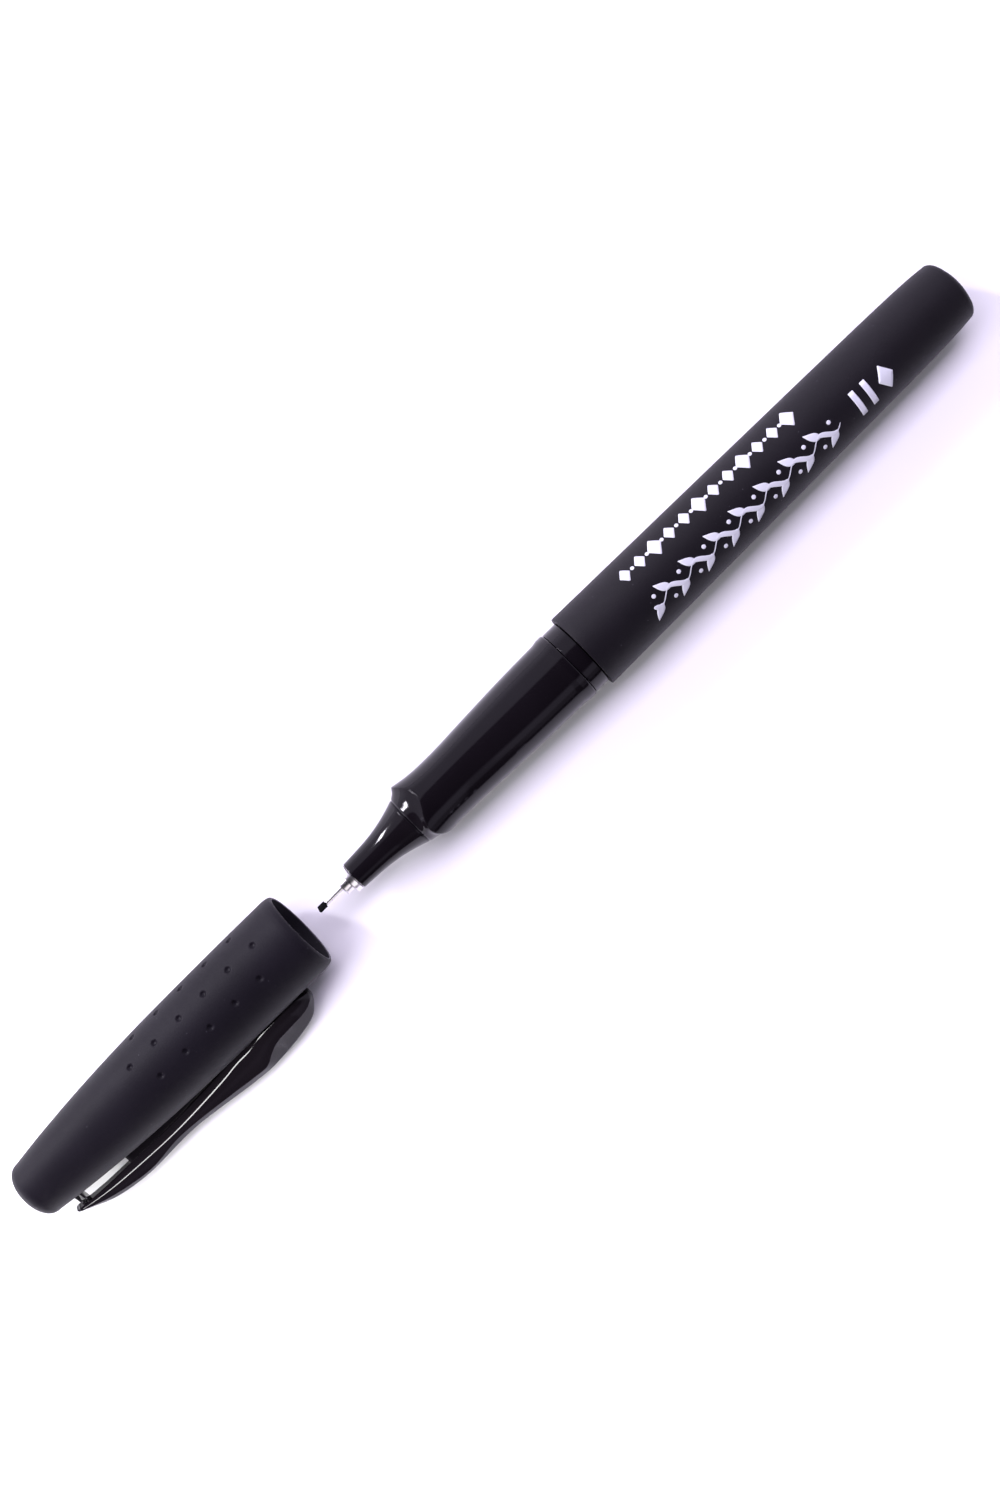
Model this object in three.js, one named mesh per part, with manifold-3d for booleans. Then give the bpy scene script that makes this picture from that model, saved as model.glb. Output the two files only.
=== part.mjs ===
// A calligraphy marker with its cap drawn off: a tapered barrel that holds a fibre ink
// reservoir, a three-sided grip, a metal-cased chisel nib, and a push-on cap with a
// sprung pocket clip. Millimetres. The pen's axis is X, from the centre of the tail face
// at the origin towards the nib, and +Z is up as the marker lies.
import * as THREE from 'three';
import { mergeVertices } from 'three/addons/utils/BufferGeometryUtils.js';
import Module from 'manifold-3d';

const wasm = await Module();
wasm.setup();

// Facets: an even count, so that a flat one faces straight down and the pen lies on it.
const ROUND = 40;
const FINE = 16;
const WICK_ROUND = 24;

// Barrel
const BARREL_FRONT = 81.1;
const BARREL_RIM = 0.35;
const BARREL_BORE_TAIL = 4.3;
const BARREL_BORE_MID = 4.85;
const BARREL_BORE_FRONT = 5.35;
const BARREL_BORE_STEP = 5.4;
const RIM_RADIUS = 0.95;
const BARREL_OUTLINE = [[1.3, 5.5], [4, 5.74], [10, 5.98], [40, 6.43], [BARREL_FRONT, 6.92]];

// Tail plug
const PLUG_RADIUS = 4.15;
const PLUG_LENGTH = 4.4;
const PLUG_CHAMFER = 0.3;
const PLUG_FLOOR = 1.2;
const PLUG_WALL = 1;

// Reservoir, its film and the feed wick
const RESERVOIR_RADIUS = 4.05;
const RESERVOIR_START = 7.2;
const RESERVOIR_END = 77;
const FILM_OUTER = 4.35;
const FILM_INNER = 4.15;
const FILM_OVERHANG = 0.4;
const WICK_RADIUS = 0.9;
const WICK_START = 73.6;
const WICK_END = 129.4;
const WICK_POINT = 0.4;
const FIT_GAP = 0.15;

// Front section: spigot, land, core and nose cone
const SPIGOT_START = 66;
const SPIGOT_RADIUS = 5.15;
const SPIGOT_BORE = 4.55;
const SPIGOT_LEAD = 0.6;
const CHAMBER_END = 78.6;
const LAND_START = 81.25;
const LAND_RADIUS = 6.1;
const LAND_END = 83.75;
const CORE_RADIUS = 4.32;
const CORE_END = 118.8;
const NOSE_START = 118.9;
const NOSE_END = 131.1;
const NOSE_OUTLINE = [[NOSE_START, 4.42], [120.8, 3.8], [122.8, 3.27], [124.6, 2.93],
  [126.6, 2.7], [NOSE_END, 2.45]];
const WICK_BORE = 1.15;
const FERRULE_SOCKET = 2.0;
const FERRULE_SOCKET_START = 125.8;

// Grip sleeve: round at the back, three soft flats at the front
const GRIP_REAR = 83.95;
const GRIP_FRONT = 118.65;
const GRIP_BORE = 4.48;
const GRIP_BEAD = 6.27;
const BEAD_ROUND = 0.22;
const BEAD_LENGTH = 1.3;
const GRIP_EDGE = 117.3;
const GRIP_EDGE_RADIUS = 5.86;
const GRIP_OUTLINE = [[86.3, 6.1], [93.8, 5.95], [102.2, 5.65], [109.4, 5.38], [114, 5.47]];
const SKIRT_RADIUS = 4.52;
const SKIRT_MIDDLE = [117.9, 5.08];
const SIDES = 3;
const RIDGE_ANGLE = -25;
const RIDGE_HEIGHT = 0.13;
const RIDGE_FROM = 90;
const RIDGE_FULL = 113;
const SETBACK = 2.1;
const SETBACK_FROM = 104;
const RIDGE_DROP = 0.3;

// Nib set
const FERRULE_FACE = 131.25;
const FERRULE_FLANGE = [2.35, 132.3];
const FERRULE_NECK = [1.5, 133.7];
const FERRULE_SHANK = [1.88, 126.1];
const FERRULE_COUNTERBORE = 129.6;
const FERRULE_CHAMFER = 0.25;
const TUBE_OUTER = 0.45;
const TUBE_INNER = 0.31;
const TUBE_START = 129.7;
const TUBE_END = 137.2;
const NIB_ROD = 0.22;
const NIB_START = 129.9;
const NIB_BACK = 137.35;
const NIB_END = 138.9;
const NIB_WIDTH = 1.0;
const NIB_THICKNESS = 0.62;
const NIB_SLANT = 0.24;
const NIB_CORNER = 0.15;
const NIB_ROLL = 20;

// Cap, measured from its mouth
const CAP_REST = 142.8;
const CAP_LENGTH = 60.2;
const CAP_LIP = [[0, 6.66], [0.25, 6.98], [0.8, 7.18]];
const CAP_OUTLINE = [[1.6, 7.27], [15, 7.28], [31, 7.04], [43, 6.42], [52, 5.62], [57.4, 4.95]];
const CAP_BORE = [[37.4, 6.02], [30, 6.38], [0.3, 6.45]];
const HOUSING = [[59.1, 0], [58.9, 3.2], [57.2, 4.0], [38.2, 5.5]];
const DIMPLE_RADIUS = 0.5;
const DIMPLE_DEPTH = 0.32;
const DIMPLE_PITCH = 5.3;
const DIMPLE_FIRST = 6.2;
const DIMPLE_COLUMN_STEP = 36;
const DIMPLE_ROWS = 5;
const DIMPLE_SIDES = 6;
const CAP_STEPS = 12;
const DOME_STEPS = 5;
const DOME_FULLNESS = 0.8;
const LINER_OUTLINE = [[38.5, 5.2], [57.0, 3.72], [58.6, 3.0]];
const LINER_MOUTH = [[46.5, 2.76], [44, 3.22], [41.5, 3.75], [38.5, 4.5]];
const LINER_SEAL = [[50.1, 2.9], [49.4, 2.62]];
const LINER_FLOOR = 58.2;
const LINER_END = 58.8;
const LINER_CHAMBER = 2.4;

// Clip, measured along the cap from its mouth and outwards from its axis; it stands on
// the side CLIP_SIDE degrees round from the top, towards +Y
const CLIP_SIDE = 117;
const CLIP_TIP = 6.5;
const CLIP_REAR = 56.9;
const CROWN = [[6.5, 9.9], [8.8, 12.3], [12.2, 13.35], [17.5, 13.95], [23.3, 13.6], [28.6, 12.8],
  [34.8, 12.0], [45.7, 12.05], [51.3, 11.0], [54.2, 9.6], [56.9, 8.0]];
const RIDGE = [[6.5, 9.0], [8.6, 9.75], [12.2, 9.85], [15.5, 10.1], [17.4, 10.9], [19.6, 12.2],
  [22.5, 12.1], [26.5, 11.6], [37.3, 10.6], [44.2, 11.2], [51.3, 9.9], [56.9, 7.8]];
const INNER = [[6.5, 8.3], [9.6, 7.1], [14.9, 6.7], [20.7, 7.1], [26, 7.8], [36.3, 8.35],
  [44.9, 8.2], [52, 8.0], [56.9, 7.5]];
const HALF_WIDTH = [[6.5, 1.3], [8.6, 2.2], [12, 2.65], [16, 2.55], [21, 2.0], [26, 1.75],
  [32, 1.5], [40, 1.3], [56.9, 0.95]];
const BEVEL = [[6.5, 0.3], [14, 0.35], [17, 0.6], [19.5, 1.0], [23, 0.85], [26, 0.9], [36, 1.1],
  [47, 0.95], [56.9, 0.2]];
const BEVEL_LEAN = 0.6;
const FLANK_BULGE = 0.07;
const CLIP_STEPS = 26;
const CROWN_ROUNDING = 0.15;
const CLIP_GAP = 0.3;
const RIB_HALF = 0.55;
const RIB_START = 20;
const RIB_END = 45.5;
const STEM_RIBS = [[54.1, 54.5], [54.95, 55.4]];
const STEM_BASE = [53.9, 55.6];
const STEM_HALF = 0.9;
const STEM_FOOT = 4.15;
const STEM_SHOULDER = 5.0;
const STEM_TOP = 7.3;

// ---- materials ------------------------------------------------------------------------

function material(color, roughness, metalness = 0) {
  return new THREE.MeshStandardMaterial({ color, roughness, metalness });
}

const MATTE_BLACK = material(0x1b1a20, 0.62);
const GLOSS_BLACK = material(0x0e0d11, 0.16);
const STEEL = material(0xc9c9ce, 0.22, 1);
const FIBRE = material(0x2a2833, 0.95);
const FILM = material(0xd8d8dc, 0.35);
const LINER_GREY = material(0x4a4952, 0.5);
const NIB_BLACK = material(0x08080a, 0.7);

// ---- geometry helpers -----------------------------------------------------------------

const radians = THREE.MathUtils.degToRad;

// Turns [x, radius] points about the X axis; the outline runs tail to nose outside.
function turned(outline, segments = ROUND) {
  const points = outline.map(([x, r]) => new THREE.Vector2(r, x));
  const geometry = new THREE.LatheGeometry(points, segments, Math.PI / segments);
  return geometry.rotateZ(-Math.PI / 2);
}

function closed(outline) {
  return [...outline, outline[0]];
}

// A smooth run through [x, value] points.
function smooth(points, divisions) {
  const curve = new THREE.SplineCurve(points.map(([x, v]) => new THREE.Vector2(x, v)));
  return curve.getPoints(divisions).map((p) => [p.x, p.y]);
}

// The value at x of a smooth run through [x, value] points.
function valueAt(points, x) {
  const run = smooth(points, 60);
  const after = run.findIndex(([px]) => px >= x);
  if (after === 0) return run[0][1];
  if (after < 0) return run[run.length - 1][1];
  const [x0, v0] = run[after - 1];
  const [x1, v1] = run[after];
  return v0 + (v1 - v0) * (x - x0) / (x1 - x0);
}

function arc(cx, cr, radius, from, to, steps) {
  const points = [];
  for (let i = 0; i <= steps; i += 1) {
    const angle = radians(from + (to - from) * i / steps);
    points.push([cx + radius * Math.cos(angle), cr + radius * Math.sin(angle)]);
  }
  return points;
}

// Moves every vertex of a geometry to place(x, y, z).
function moved(geometry, place) {
  const position = geometry.attributes.position;
  for (let i = 0; i < position.count; i += 1) {
    const [x, y, z] = place(position.getX(i), position.getY(i), position.getZ(i));
    position.setXYZ(i, x, y, z);
  }
  return geometry;
}

function solid(geometry) {
  geometry.deleteAttribute('normal');
  geometry.deleteAttribute('uv');
  const merged = mergeVertices(geometry, 1e-4);
  const index = merged.index.array;
  const kept = [];
  for (let i = 0; i < index.length; i += 3) {
    const [a, b, c] = [index[i], index[i + 1], index[i + 2]];
    if (a !== b && b !== c && c !== a) kept.push(a, b, c);
  }
  return new wasm.Manifold(new wasm.Mesh({
    numProp: 3,
    vertProperties: new Float32Array(merged.attributes.position.array),
    triVerts: new Uint32Array(kept),
  }));
}

function fromSolid(manifold) {
  const mesh = manifold.getMesh();
  const geometry = new THREE.BufferGeometry();
  geometry.setAttribute('position', new THREE.BufferAttribute(mesh.vertProperties, 3));
  geometry.setIndex(new THREE.BufferAttribute(mesh.triVerts, 1));
  return geometry;
}

function block([x0, x1], halfY, [z0, z1]) {
  const box = new THREE.BoxGeometry(x1 - x0, 2 * halfY, z1 - z0);
  return box.translate((x0 + x1) / 2, 0, (z0 + z1) / 2);
}

function node(name, geometry, look) {
  const mesh = new THREE.Mesh(geometry, look);
  mesh.name = name;
  return mesh;
}

// ---- the pen --------------------------------------------------------------------------

function barrel() {
  const rim = arc(BARREL_OUTLINE[0][0], BARREL_OUTLINE[0][1] - RIM_RADIUS, RIM_RADIUS, 180, 90, 4);
  const outside = smooth(BARREL_OUTLINE, 10).slice(1);
  const bore = [[BARREL_FRONT, BARREL_BORE_FRONT], [BARREL_BORE_STEP + 1, BARREL_BORE_MID],
    [BARREL_BORE_STEP, BARREL_BORE_TAIL], [BARREL_RIM, BARREL_BORE_TAIL]];
  return node('barrel', turned(closed([...rim, ...outside, ...bore])), MATTE_BLACK);
}

function tailPlug() {
  const outline = [[0, 0], [0, PLUG_RADIUS - PLUG_CHAMFER], [PLUG_CHAMFER, PLUG_RADIUS],
    [PLUG_LENGTH, PLUG_RADIUS], [PLUG_LENGTH, PLUG_RADIUS - PLUG_WALL],
    [PLUG_FLOOR, PLUG_RADIUS - PLUG_WALL], [PLUG_FLOOR, 0]];
  return node('tail_plug', turned(outline), MATTE_BLACK);
}

function reservoir() {
  const outline = [[RESERVOIR_START, 0], [RESERVOIR_START, RESERVOIR_RADIUS],
    [RESERVOIR_END, RESERVOIR_RADIUS], [RESERVOIR_END, WICK_RADIUS + FIT_GAP],
    [WICK_START - FIT_GAP, WICK_RADIUS + FIT_GAP], [WICK_START - FIT_GAP, 0]];
  return node('ink_reservoir', turned(outline, WICK_ROUND), FIBRE);
}

function reservoirFilm() {
  const x0 = RESERVOIR_START - FILM_OVERHANG;
  const x1 = RESERVOIR_END + FILM_OVERHANG;
  const outline = [[x0, FILM_OUTER], [x1, FILM_OUTER], [x1, FILM_INNER], [x0, FILM_INNER]];
  return node('reservoir_film', turned(closed(outline), WICK_ROUND), FILM);
}

function feedWick() {
  const outline = [[WICK_START, 0], [WICK_START + WICK_POINT, WICK_RADIUS], [WICK_END, WICK_RADIUS],
    [WICK_END, 0]];
  return node('feed_wick', turned(outline, FINE), FIBRE);
}

function frontSection() {
  const nose = smooth(NOSE_OUTLINE, 8);
  const outside = [[SPIGOT_START, SPIGOT_BORE + FIT_GAP],
    [SPIGOT_START + SPIGOT_LEAD, SPIGOT_RADIUS],
    [LAND_START, SPIGOT_RADIUS], [LAND_START, LAND_RADIUS], [LAND_END, LAND_RADIUS],
    [LAND_END, CORE_RADIUS], [CORE_END, CORE_RADIUS], ...nose];
  const inside = [[NOSE_END, FERRULE_SOCKET], [FERRULE_SOCKET_START, FERRULE_SOCKET],
    [FERRULE_SOCKET_START, WICK_BORE], [CHAMBER_END, WICK_BORE], [CHAMBER_END, SPIGOT_BORE],
    [SPIGOT_START, SPIGOT_BORE]];
  return node('front_section', turned(closed([...outside, ...inside])), GLOSS_BLACK);
}

// Swells the three ridges and draws the front edge back where each ridge meets it. The
// skirt in front of the edge follows it less and less.
function shapeGrip(x, y, z) {
  const radius = Math.hypot(y, z);
  if (radius < (GRIP_BORE + SKIRT_RADIUS) / 2) return [x, y, z];
  const along = (x - GRIP_EDGE) / (GRIP_FRONT - GRIP_EDGE);
  const free = 1 - THREE.MathUtils.clamp(along, 0, 1);
  const around = SIDES * (Math.atan2(y, z) - radians(RIDGE_ANGLE));
  const swell = THREE.MathUtils.smoothstep(x, RIDGE_FROM, RIDGE_FULL);
  const notch = (1 + Math.cos(around)) / 2;
  const reach = THREE.MathUtils.clamp((x - SETBACK_FROM) / (GRIP_EDGE - SETBACK_FROM), 0, 1);
  const back = SETBACK * notch * reach ** 2 * free;
  const drop = RIDGE_DROP * notch * reach ** 4 * free;
  const bump = RIDGE_HEIGHT * swell * Math.cos(around) * (1 - reach ** 4);
  const scale = (radius + bump - drop) / radius;
  return [x - back, y * scale, z * scale];
}

function gripSleeve() {
  const bead = [[GRIP_REAR, GRIP_BEAD - BEAD_ROUND], [GRIP_REAR + BEAD_ROUND, GRIP_BEAD],
    [GRIP_REAR + BEAD_LENGTH, GRIP_BEAD]];
  const sweep = smooth([...GRIP_OUTLINE, [GRIP_EDGE, GRIP_EDGE_RADIUS]], 12);
  const skirt = [SKIRT_MIDDLE, [GRIP_FRONT, SKIRT_RADIUS]];
  const bore = [[GRIP_FRONT, GRIP_BORE], [GRIP_REAR, GRIP_BORE]];
  const geometry = turned(closed([...bead, ...sweep, ...skirt, ...bore]));
  return node('grip_sleeve', moved(geometry, shapeGrip), GLOSS_BLACK);
}

function nibFerrule() {
  const [flangeRadius, flangeEnd] = FERRULE_FLANGE;
  const [neckRadius, neckEnd] = FERRULE_NECK;
  const [shankRadius, shankStart] = FERRULE_SHANK;
  const bore = TUBE_OUTER + FIT_GAP / 2;
  const outside = [[shankStart, shankRadius - FERRULE_CHAMFER],
    [shankStart + FERRULE_CHAMFER, shankRadius], [FERRULE_FACE, shankRadius],
    [FERRULE_FACE, flangeRadius], [flangeEnd - FERRULE_CHAMFER, flangeRadius],
    [flangeEnd, flangeRadius - FERRULE_CHAMFER], [flangeEnd, neckRadius],
    [neckEnd - FERRULE_CHAMFER, neckRadius], [neckEnd, neckRadius - FERRULE_CHAMFER]];
  const inside = [[neckEnd, bore], [FERRULE_COUNTERBORE, bore],
    [FERRULE_COUNTERBORE, WICK_RADIUS + FIT_GAP], [shankStart, WICK_RADIUS + FIT_GAP]];
  return node('nib_ferrule', turned(closed([...outside, ...inside]), WICK_ROUND), STEEL);
}

function nibTube() {
  const outline = [[TUBE_START, TUBE_OUTER], [TUBE_END, TUBE_OUTER], [TUBE_END, TUBE_INNER],
    [TUBE_START, TUBE_INNER]];
  return node('nib_tube', turned(closed(outline), FINE), STEEL);
}

// A round rod inside the tube with a flat, slant-cut writing edge on its end.
function nib() {
  const rodEnd = NIB_BACK + NIB_CORNER;
  const rod = turned([[NIB_START, 0], [NIB_START, NIB_ROD], [rodEnd, NIB_ROD], [rodEnd, 0]], FINE);
  const half = NIB_WIDTH / 2;
  const edge = new THREE.Shape();
  edge.moveTo(NIB_BACK, -half);
  edge.lineTo(NIB_END - NIB_SLANT, -half);
  edge.lineTo(NIB_END, half - NIB_CORNER);
  edge.lineTo(NIB_END - NIB_CORNER, half);
  edge.lineTo(NIB_BACK, half);
  edge.closePath();
  const chisel = new THREE.ExtrudeGeometry(edge, { depth: NIB_THICKNESS, bevelEnabled: false });
  chisel.translate(0, 0, -NIB_THICKNESS / 2);
  chisel.rotateX(radians(NIB_ROLL));
  return node('nib', fromSolid(solid(rod).add(solid(chisel))), NIB_BLACK);
}

// ---- the cap --------------------------------------------------------------------------

// Turns a shape drawn with its outward direction up, +Z, to a place around the cap.
function aroundCap(geometry, degreesFromTop) {
  return geometry.rotateX(-radians(degreesFromTop));
}

function capRadius(x) {
  return valueAt(CAP_OUTLINE, x);
}

function capOutside() {
  const [shoulderX, shoulderR] = CAP_OUTLINE[CAP_OUTLINE.length - 1];
  const dome = [];
  for (let i = 1; i < DOME_STEPS; i += 1) {
    const angle = i / DOME_STEPS * Math.PI / 2;
    const reach = (CAP_LENGTH - shoulderX) * Math.sin(angle) ** DOME_FULLNESS;
    dome.push([shoulderX + reach, shoulderR * Math.cos(angle)]);
  }
  return [...smooth(CAP_OUTLINE, CAP_STEPS), ...dome, [CAP_LENGTH, 0]];
}

// Shallow pits in five columns, centred on the side away from the clip, every other
// column half a pitch along.
function dimples() {
  const pits = [];
  for (let column = -2; column <= 2; column += 1) {
    const outerColumn = column % 2 === 0;
    const count = outerColumn ? DIMPLE_ROWS : DIMPLE_ROWS + 1;
    const first = DIMPLE_FIRST + (outerColumn ? DIMPLE_PITCH / 2 : 0);
    for (let row = 0; row < count; row += 1) {
      const x = first + DIMPLE_PITCH * row;
      const pit = new THREE.ConeGeometry(DIMPLE_RADIUS * 2, DIMPLE_DEPTH * 2, DIMPLE_SIDES);
      pit.rotateX(-Math.PI / 2).translate(x, 0, capRadius(x));
      pits.push(solid(aroundCap(pit, CLIP_SIDE - 180 + column * DIMPLE_COLUMN_STEP)));
    }
  }
  return pits;
}

function capShell() {
  const outline = [...HOUSING, ...CAP_BORE, ...CAP_LIP, ...capOutside()];
  let shell = solid(turned(outline));
  for (const pit of dimples()) shell = shell.subtract(pit);
  const slotX = [STEM_BASE[0] - FIT_GAP, STEM_BASE[1] + FIT_GAP];
  const slot = block(slotX, STEM_HALF + FIT_GAP, [STEM_FOOT - CLIP_GAP, STEM_TOP]);
  shell = shell.subtract(solid(aroundCap(slot, CLIP_SIDE)));
  return node('cap_shell', fromSolid(shell), MATTE_BLACK);
}

function capLiner() {
  const inside = [[LINER_FLOOR, 0], [LINER_FLOOR, LINER_CHAMBER], ...LINER_SEAL, ...LINER_MOUTH];
  const outline = [...inside, ...LINER_OUTLINE, [LINER_END, LINER_CHAMBER], [LINER_END, 0]];
  return node('cap_liner', turned(outline), LINER_GREY);
}

// The clip's root: a base that snaps into the cap's wall and two thin ribs that carry the
// arm.
function clipStem() {
  let stem = solid(block(STEM_BASE, STEM_HALF, [STEM_FOOT, STEM_SHOULDER]));
  for (const rib of STEM_RIBS) {
    stem = stem.add(solid(block(rib, STEM_HALF, [STEM_FOOT, STEM_TOP])));
  }
  return node('clip_stem', aroundCap(fromSolid(stem), CLIP_SIDE), GLOSS_BLACK);
}

// Half of the clip's section at x as [across, outwards] points, from the middle of its
// underside round to the middle of its crown.
function clipSection(x) {
  const half = valueAt(HALF_WIDTH, x);
  const inner = valueAt(INNER, x);
  const ridge = valueAt(RIDGE, x);
  const crown = valueAt(CROWN, x);
  const shoulder = crown - CROWN_ROUNDING * (crown - ridge);
  const bevel = Math.min(valueAt(BEVEL, x), (ridge - inner) / 2);
  const flank = ridge - inner - bevel;
  return [[0, inner], [half - BEVEL_LEAN * bevel, inner], [half, inner + bevel],
    [half + FLANK_BULGE * flank, ridge - flank / 2], [half, ridge], [half / 2, shoulder],
    [0, crown]];
}

// A closed cylinder whose rings are moved to the clip's sections.
function clipBody() {
  const sides = 2 * (clipSection(CLIP_TIP).length - 1);
  const rod = new THREE.CylinderGeometry(1, 1, 1, sides, CLIP_STEPS);
  return moved(rod, (px, py, pz) => {
    const x = CLIP_TIP + (CLIP_REAR - CLIP_TIP) * (py + 0.5);
    const section = clipSection(x);
    const middle = (section[0][1] + section[sides / 2][1]) / 2;
    if (Math.hypot(px, pz) < 0.5) return [x, 0, middle];
    const turn = Math.round(Math.atan2(px, pz) / (2 * Math.PI) * sides);
    const [across, out] = section[Math.abs(turn)];
    return [x, Math.sign(turn) * across, out];
  });
}

function clipRib() {
  const edge = new THREE.Shape();
  edge.moveTo(RIB_START, capRadius(RIB_START));
  edge.lineTo(RIB_END, capRadius(RIB_END));
  edge.lineTo(RIB_END, valueAt(INNER, RIB_END) + RIB_HALF);
  edge.lineTo(RIB_START, valueAt(INNER, RIB_START) + RIB_HALF);
  edge.closePath();
  const rib = new THREE.ExtrudeGeometry(edge, { depth: 2 * RIB_HALF, bevelEnabled: false });
  return rib.rotateX(Math.PI / 2).translate(0, RIB_HALF, 0);
}

function clipArm() {
  const clearance = capOutside().map(([x, r]) => [x, r === 0 ? 0 : r + CLIP_GAP]);
  const keepOut = solid(turned([[0, 0], [0, clearance[0][1]], ...clearance]));
  const arm = solid(clipBody()).add(solid(clipRib())).subtract(keepOut);
  return node('clip_arm', aroundCap(fromSolid(arm), CLIP_SIDE), GLOSS_BLACK);
}

// ---- the marker -----------------------------------------------------------------------

const pen = new THREE.Group();
pen.add(barrel(), tailPlug(), reservoir(), reservoirFilm(), feedWick(), frontSection());
pen.add(gripSleeve(), nibFerrule(), nibTube(), nib());

const cap = new THREE.Group();
cap.position.x = CAP_REST;
cap.add(capShell(), capLiner(), clipStem(), clipArm());

const marker = new THREE.Group();
marker.add(pen, cap);

export default marker;
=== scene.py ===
"""The looks of the calligraphy marker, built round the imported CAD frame.

Outlines are in millimetres: x along the pen and the radius from its axis. The pen's pieces
measure x from its tail face, and the cap's from its mouth. Angles round the axis are from
the top towards +Y.
"""

import math

import bmesh
import bpy
import numpy as np
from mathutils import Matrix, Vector


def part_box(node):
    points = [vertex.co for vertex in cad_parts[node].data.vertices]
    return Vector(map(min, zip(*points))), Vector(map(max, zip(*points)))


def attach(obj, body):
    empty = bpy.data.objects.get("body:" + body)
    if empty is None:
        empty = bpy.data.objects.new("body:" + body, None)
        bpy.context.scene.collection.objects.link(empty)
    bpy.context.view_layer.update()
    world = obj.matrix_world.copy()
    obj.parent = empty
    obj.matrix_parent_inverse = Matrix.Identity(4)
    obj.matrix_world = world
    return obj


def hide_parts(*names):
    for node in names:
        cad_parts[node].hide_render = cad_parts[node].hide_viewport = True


MM = 0.001
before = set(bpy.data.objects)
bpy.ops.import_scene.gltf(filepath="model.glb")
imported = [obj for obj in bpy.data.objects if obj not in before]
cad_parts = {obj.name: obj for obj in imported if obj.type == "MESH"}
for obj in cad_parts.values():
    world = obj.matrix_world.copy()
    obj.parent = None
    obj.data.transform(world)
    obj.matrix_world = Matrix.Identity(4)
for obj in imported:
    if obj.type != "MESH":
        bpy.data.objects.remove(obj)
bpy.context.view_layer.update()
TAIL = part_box("tail_plug")[0].x / MM
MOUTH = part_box("cap_shell")[0].x / MM
CAD_FACETS = 40
INSIDE_FACETS = math.cos(math.pi / CAD_FACETS)

# ---- outlines -----------------------------------------------------------------------

BARREL_FRONT = 81.1
BARREL_OUTLINE = [(1.3, 5.5), (4, 5.74), (10, 5.98), (40, 6.43), (BARREL_FRONT, 6.92)]
BARREL_RIM = 0.95
BARREL_BORE = [(6.4, 4.85), (5.4, 4.3), (0.35, 4.3)]

PLUG_OUTLINE = [(0, 0), (0, 4.15), (4.4, 4.15), (4.4, 3.15), (1.2, 3.15), (1.2, 0)]

LAND = (81.25, 83.9, 6.1)
CORE = (118.8, 4.32)
NOSE_OUTLINE = [(118.9, 4.42), (120.8, 3.8), (122.8, 3.27), (124.6, 2.93), (126.6, 2.7), (131.1, 2.45)]
SPIGOT = (66, 5.15, 4.55)

GRIP_REAR = 83.95
GRIP_FRONT = 118.65
GRIP_BORE = 4.48
GRIP_BEAD = 6.27
GRIP_EDGE = (117.3, 5.86)
GRIP_OUTLINE = [(86.3, 6.1), (93.8, 5.95), (102.2, 5.65), (109.4, 5.38), (114, 5.47), GRIP_EDGE]
SKIRT_RADIUS = 4.52
SKIRT_OUTLINE = [GRIP_EDGE, (117.9, 5.08), (GRIP_FRONT, SKIRT_RADIUS)]
SIDES = 3
RIDGE_ANGLE = math.radians(-25)
RIDGE_HEIGHT = 0.13
RIDGE_SPAN = (90, 113)
SETBACK = 2.1
SETBACK_FROM = 104
RIDGE_DROP = 0.3
EDGE_ROUND = 0.25

CAP_LENGTH = 60.2
CAP_LIP = 6.66
LIP_BEAD = 0.1
CAP_OUTLINE = [(1.6, 7.27), (15, 7.28), (31, 7.04), (43, 6.42), (52, 5.62), (57.4, 4.95)]
CAP_INSIDE = [(59.1, 0), (58.9, 3.2), (57.2, 4.0), (38.2, 5.5), (37.4, 6.02), (30, 6.38), (0.3, 6.45)]
DOME_FULLNESS = 0.8
DIMPLE_RADIUS = 0.52
DIMPLE_DEPTH = 0.34
DIMPLE_PITCH = 5.3
DIMPLE_FIRST = 6.2
DIMPLE_ROWS = 5
DIMPLE_ANGLE = math.radians(-63)
DIMPLE_STEP = math.radians(36)
LINER_OUTLINE = [(58.2, 0), (58.2, 2.4), (50.1, 2.9), (49.4, 2.62), (46.5, 2.76), (44, 3.22), (41.5, 3.75),
                 (38.5, 4.5), (38.5, 5.2), (57, 3.72), (58.6, 3.0), (58.8, 2.4), (58.8, 0)]

CLIP_ANGLE = math.radians(117)
CLIP_SPAN = (6.5, 56.9)
CLIP_CROWN = [(6.5, 9.9), (8.8, 12.3), (12.2, 13.35), (17.5, 13.95), (23.3, 13.6), (28.6, 12.8),
              (34.8, 12.0), (45.7, 12.05), (51.3, 11.0), (54.2, 9.6), (56.9, 8.0)]
CLIP_RIDGE = [(6.5, 9.0), (8.6, 9.75), (12.2, 9.85), (15.5, 10.1), (17.4, 10.9), (19.6, 12.2),
              (22.5, 12.1), (26.5, 11.6), (37.3, 10.6), (44.2, 11.2), (51.3, 9.9), (56.9, 7.8)]
CLIP_INNER = [(6.5, 8.3), (9.6, 7.1), (14.9, 6.7), (20.7, 7.1), (26, 7.8), (36.3, 8.35),
              (44.9, 8.2), (52, 8.0), (56.9, 7.5)]
CLIP_HALF = [(6.5, 1.3), (8.6, 2.2), (12, 2.65), (16, 2.55), (21, 2.0), (26, 1.75),
             (32, 1.5), (40, 1.3), (56.9, 0.95)]
CLIP_BEVEL = [(6.5, 0.3), (14, 0.35), (17, 0.6), (19.5, 1.0), (23, 0.85), (26, 0.9), (36, 1.1),
              (47, 0.95), (56.9, 0.2)]
BEVEL_LEAN = 0.6
FLANK_BULGE = 0.07
CLIP_GAP = 0.3
RIB_HALF = 0.5
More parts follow.
